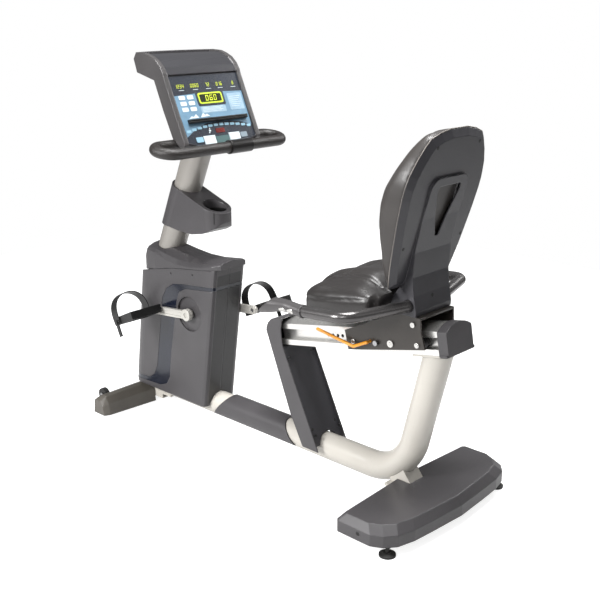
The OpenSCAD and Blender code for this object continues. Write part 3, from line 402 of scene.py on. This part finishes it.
def plate(name, outline, bottom, top, mat, body="frame", at=(0, 0)):
    """A thin plate on the console face; outline and heights in millimetres."""
    bm = bmesh.new()
    placed = [((x + at[0]) / 1000, (y + at[1]) / 1000) for x, y in outline]
    lower = [bm.verts.new(PANEL @ Vector((x, y, bottom / 1000))) for x, y in placed]
    upper = [bm.verts.new(PANEL @ Vector((x, y, top / 1000))) for x, y in placed]
    bm.faces.new(lower[::-1])
    bm.faces.new(upper)
    for i in range(len(outline)):
        j = (i + 1) % len(outline)
        bm.faces.new((lower[i], lower[j], upper[j], upper[i]))
    return from_bmesh(name, bm, mat, body, smooth=False)


def strokes(name, quads, bottom, top, mat):
    """Many small plates in one piece."""
    bm = bmesh.new()
    for outline in quads:
        lower = [bm.verts.new(PANEL @ Vector((x / 1000, y / 1000, bottom / 1000))) for x, y in outline]
        upper = [bm.verts.new(PANEL @ Vector((x / 1000, y / 1000, top / 1000))) for x, y in outline]
        bm.faces.new(lower[::-1])
        bm.faces.new(upper)
        for i in range(len(outline)):
            j = (i + 1) % len(outline)
            bm.faces.new((lower[i], lower[j], upper[j], upper[i]))
    return from_bmesh(name, bm, mat, "frame", smooth=False)


SEGMENTS = {"0": "abcdef", "1": "bc", "2": "abged", "3": "abgcd", "4": "fgbc",
            "5": "afgcd", "6": "afgedc", "7": "abc", "8": "abcdefg", "9": "abcdfg"}


def digit(char, x, y, w, h, t):
    """Seven-segment bars of one digit with its lower left corner at (x, y)."""
    bars = {"a": (0, h - t, w, h), "g": (0, h / 2 - t / 2, w, h / 2 + t / 2), "d": (0, 0, w, t),
            "f": (0, h / 2, t, h), "b": (w - t, h / 2, w, h),
            "e": (0, 0, t, h / 2), "c": (w - t, 0, w, h / 2)}
    out = []
    for key in SEGMENTS[char]:
        x0, y0, x1, y1 = bars[key]
        lean = 0.12
        out.append([(x + a + lean * b, y + b) for a, b in
                    ((x0 + 0.3, y0 + 0.3), (x1 - 0.3, y0 + 0.3), (x1 - 0.3, y1 - 0.3), (x0 + 0.3, y1 - 0.3))])
    return out


def readout(text, x, y, w, h, t):
    quads = []
    step = w * 1.38
    start = x - step * len(text) / 2
    for i, char in enumerate(text):
        if char != " ":
            quads += digit(char, start + i * step, y - h / 2, w, h, t)
    return quads


def box(x0, y0, x1, y1):
    return [(x0, y0), (x1, y0), (x1, y1), (x0, y1)]


plate("field_blue", [(-150, 14), (-153, 157), (-60, 161), (-56, 116), (62, 116), (66, 161), (153, 158),
                     (151, 34), (110, 47), (55, 56), (0, 58), (-55, 54), (-105, 38)], 0, 0.5, FIELD)
plate("field_text", rounded(112, 24, 3), 0.5, 0.8, PALE, at=(2, 102))
plate("field_right", rounded(66, 60, 4), 0.5, 0.8, PALE, at=(112, 122))
plate("display_block", rounded(124, 50, 7), 0, 1.4, FACE, at=(2, 140))
plate("display_frame", rounded(108, 39, 8), 1.4, 1.8, LED_FRAME, at=(2, 142))
plate("display_glass", rounded(96, 28, 5), 1.8, 2.1, GLASS_DARK, at=(2, 142))
strokes("display_digits", readout("060", 5, 142, 13, 20, 3), 2.1, 2.4, LED)
strokes("readouts", readout("1234", -116, 189, 7, 13, 1.8) + readout("0060", -51, 189, 7, 13, 1.8)
        + readout("72", 7, 189, 7, 13, 1.8) + readout("016", 60, 189, 7, 13, 1.8)
        + readout("8", 124, 189, 7, 13, 1.8),
        0, 0.5, LED)
strokes("readout_rules", [box(x - 12, 174, x + 10, 175.6) for x in (-112, -50, 8, 62, 122)], 0, 0.5, WHITE)
for col, x in enumerate((-122, -86)):
    for row, y in enumerate((149, 128.5, 108)):
        plate(f"program_key_{col}{row}", rounded(26, 14, 3), 0.5, 1.2, WHITE, at=(x, y))
strokes("text_rules", [box(-48, 108 - 4.5 * k, 44 - 9 * (k % 2), 109.4 - 4.5 * k) for k in range(4)]
        + [box(86, 140 - 7 * k, 136 - 6 * (k % 3), 141.2 - 7 * k) for k in range(6)], 0.8, 1.0, WHITE)
strokes("peaks", [[(-118, 76), (-104, 84), (-96, 80), (-84, 90), (-74, 77)],
                  [(-66, 77), (-52, 92), (-44, 84), (-36, 88), (-24, 79)]], 0.5, 0.8, WHITE)
for k in range(12):
    x = -136 + 24.8 * k
    y = 55 - 15 * (x / 140) ** 2
    plate(f"arc_key_{k}", rounded(19, 9, 3), 0, 0.8, KEY_BLUE, at=(x, y - 8))
plate("red_window", rounded(40, 16, 2), 0, 1.0, RED, at=(0, 26))
strokes("runner_mark", [[(-52, 20), (-48, 20), (-44, 27), (-47, 28)],
                        [(-50, 28), (-42, 26), (-40, 30), (-48, 33)],
                        box(-46, 34, -42, 38)], 0, 0.5, WHITE)
strokes("key_frames", [box(-82, -19.5, -30, 12), box(33, -19.5, 83, 14)], 0, 0.4, WHITE)


# ------------------------------------------------------------------ small details on the CAD surfaces


def surface(node):
    """A ray-casting tree of a CAD node in the shared frame."""
    obj = NODES[node]
    mesh = obj.data
    points = [obj.matrix_world @ v.co for v in mesh.vertices]
    return BVHTree.FromPolygons(points, [list(f.vertices) for f in mesh.polygons])


def patch(name, tree, centre, across, up, half_width, half_height, lift, mat, body):
    """An oval plate laid on a curved surface, seen from the direction across x up."""
    out = across.cross(up).normalized()
    bm = bmesh.new()
    rings = []
    for share, rise in ((0.0, 1.0), (0.35, 1.0), (0.7, 1.0), (0.92, 0.9), (1.0, -0.5)):
        ring = []
        for k in range(1 if share == 0 else OVAL_POINTS):
            a = 2 * math.pi * k / OVAL_POINTS
            start = centre + across * half_width * share * math.cos(a)
            start += up * half_height * share * math.sin(a)
            hit, normal = tree.ray_cast(start + out * 0.2, -out)[:2]
            if hit is None:
                hit, normal = start, out
            ring.append(bm.verts.new(hit + out * lift * rise))
        rings.append(ring)
    for k in range(OVAL_POINTS):
        bm.faces.new((rings[0][0], rings[1][k], rings[1][(k + 1) % OVAL_POINTS]))
    for inner, outer in zip(rings[1:], rings[2:]):
        for k in range(OVAL_POINTS):
            after = (k + 1) % OVAL_POINTS
            bm.faces.new((inner[k], outer[k], outer[after], inner[after]))
    return from_bmesh(name, bm, mat, body)


def screw(name, tree, centre, out, radius, body):
    """A dished round recess cover with a dark middle."""
    across = out.cross(Vector((0, 0, 1))).normalized() if abs(out.z) < 0.9 else Vector((1, 0, 0))
    up = out.cross(across).normalized()
    if across.cross(up).dot(out) < 0:
        up = -up
    patch(name, tree, centre, across, up, radius, radius, 0.0006, RUBBER, body)


grip_tree = surface("seat_grips")
for side in (-1, 1):
    for index, x in enumerate((0.321, 0.352)):
        patch(f"pulse_plate_{'left' if side < 0 else 'right'}_{index}", grip_tree,
              Vector((x, side * 0.29, 0.657 + 0.08 * (x - 0.336))),
              Vector((-side, 0, -side * 0.08)).normalized(),
              Vector((0, 0, 1)), 0.0135, 0.0095, 0.0007, CHROME, "carriage")

shell_tree = surface("backrest_shell")
behind = Vector((math.cos(RECLINE), 0, -math.sin(RECLINE)))
for index, point in enumerate(((0.707, -0.1, 1.144), (0.707, 0.1, 1.144), (0.63, -0.139, 0.861),
                               (0.63, 0.139, 0.861), (0.633, 0, 0.702))):
    screw(f"shell_screw_{index}", shell_tree, Vector(point), behind, 0.0055, "carriage")
strut_tree = surface("strut_cover")
for index, (y, z) in enumerate(((-0.055, 0.385), (0.055, 0.385), (-0.055, 0.16), (0.055, 0.16))):
    x = 0.09 + (0.42 - z) * 0.486
    outward = Vector((0.9, 0, 0.436)).normalized()
    screw(f"strut_screw_{index}", strut_tree, Vector((x, y, z)), outward, 0.005, "frame")

RIM = ((0.078, 0.765), (0.11, 0.81), (0.15, 0.86), (0.21, 0.91), (0.29, 0.97), (0.36, 1), (0.395, 0.995),
       (0.43, 0.955), (0.47, 0.86), (0.505, 0.745), (0.526, 0.655), (0.54, 0.45), (0.548, 0.22))


def on_back(rearward, across, up):
    return (BACK_FOOT_X + rearward * math.cos(RECLINE) + up * math.sin(RECLINE), across,
            BACK_FOOT_Z - rearward * math.sin(RECLINE) + up * math.cos(RECLINE))


welt = [on_back(-0.0145, share * 0.185, up) for up, share in RIM]
welt += [on_back(-0.0145, -share * 0.185, up) for up, share in reversed(RIM)]
tube("backrest_welt", welt, 0.0016, PIPING, "carriage", closed=True)


# ------------------------------------------------------------------ camera and light

camera_data = bpy.data.cameras.new("camera")
camera_data.lens = 58.07
camera_data.sensor_width = 36
camera = bpy.data.objects.new("camera", camera_data)
camera.location = (2.2049, -2.2368, 1.5112)
camera.rotation_euler = (math.radians(90 - 16.983), 0, math.radians(43.175))
scene.collection.objects.link(camera)
scene.camera = camera


def seen_or_lit(tree, socket, lit, seen):
    """Studio white: one strength for what the backdrop gives off, another for how it looks."""
    path = tree.nodes.new("ShaderNodeLightPath")
    pick = tree.nodes.new("ShaderNodeMapRange")
    pick.inputs["To Min"].default_value = lit
    pick.inputs["To Max"].default_value = seen
    tree.links.new(path.outputs["Is Camera Ray"], pick.inputs["Value"])
    tree.links.new(pick.outputs["Result"], socket)


floor_mesh = bpy.data.meshes.new("floor")
floor_mesh.from_pydata([(-3.2, -2.6, 0), (2.6, -2.6, 0), (2.6, 3.0, 0), (-3.2, 3.0, 0)], [], [(0, 1, 2, 3)])
floor = bpy.data.objects.new("floor", floor_mesh)
scene.collection.objects.link(floor)
floor_paint = bpy.data.materials.new("floor")
floor_paint.use_nodes = True
shader = floor_paint.node_tree.nodes["Principled BSDF"]
shader.inputs["Base Color"].default_value = (0.5, 0.5, 0.5, 1)
shader.inputs["Roughness"].default_value = 0.9
shader.inputs["Emission Color"].default_value = (1, 1, 1, 1)
seen_or_lit(floor_paint.node_tree, shader.inputs["Emission Strength"], 0.25, 0.82)
floor_mesh.materials.append(floor_paint)


def lamp(name, where, target, size, power):
    data = bpy.data.lights.new(name, "AREA")
    data.size = size
    data.energy = power
    obj = bpy.data.objects.new(name, data)
    obj.location = where
    obj.rotation_euler = (Vector(target) - Vector(where)).to_track_quat("-Z", "Y").to_euler()
    scene.collection.objects.link(obj)


lamp("key", (-1.0, -3.8, 2.3), (-0.1, 0, 0.6), 1.5, 235)
lamp("front", (1.6, -3.8, 2.6), (0, 0, 0.6), 0.9, 40)
lamp("fill", (3.8, 0.2, 2.2), (0, 0, 0.6), 1.2, 4)
lamp("rim", (0.6, 3.2, 2.6), (0, 0, 0.7), 1.4, 55)
lamp("top", (0.4, 0, 3.8), (0.2, 0, 0), 1.6, 210)

world = bpy.data.worlds.new("studio")
world.use_nodes = True
nodes = world.node_tree.nodes
seen_or_lit(world.node_tree, nodes["Background"].inputs["Strength"], 0.2, 1.0)
nodes["Background"].inputs["Color"].default_value = (1, 1, 1, 1)
scene.world = world
scene.view_settings.view_transform = "Standard"
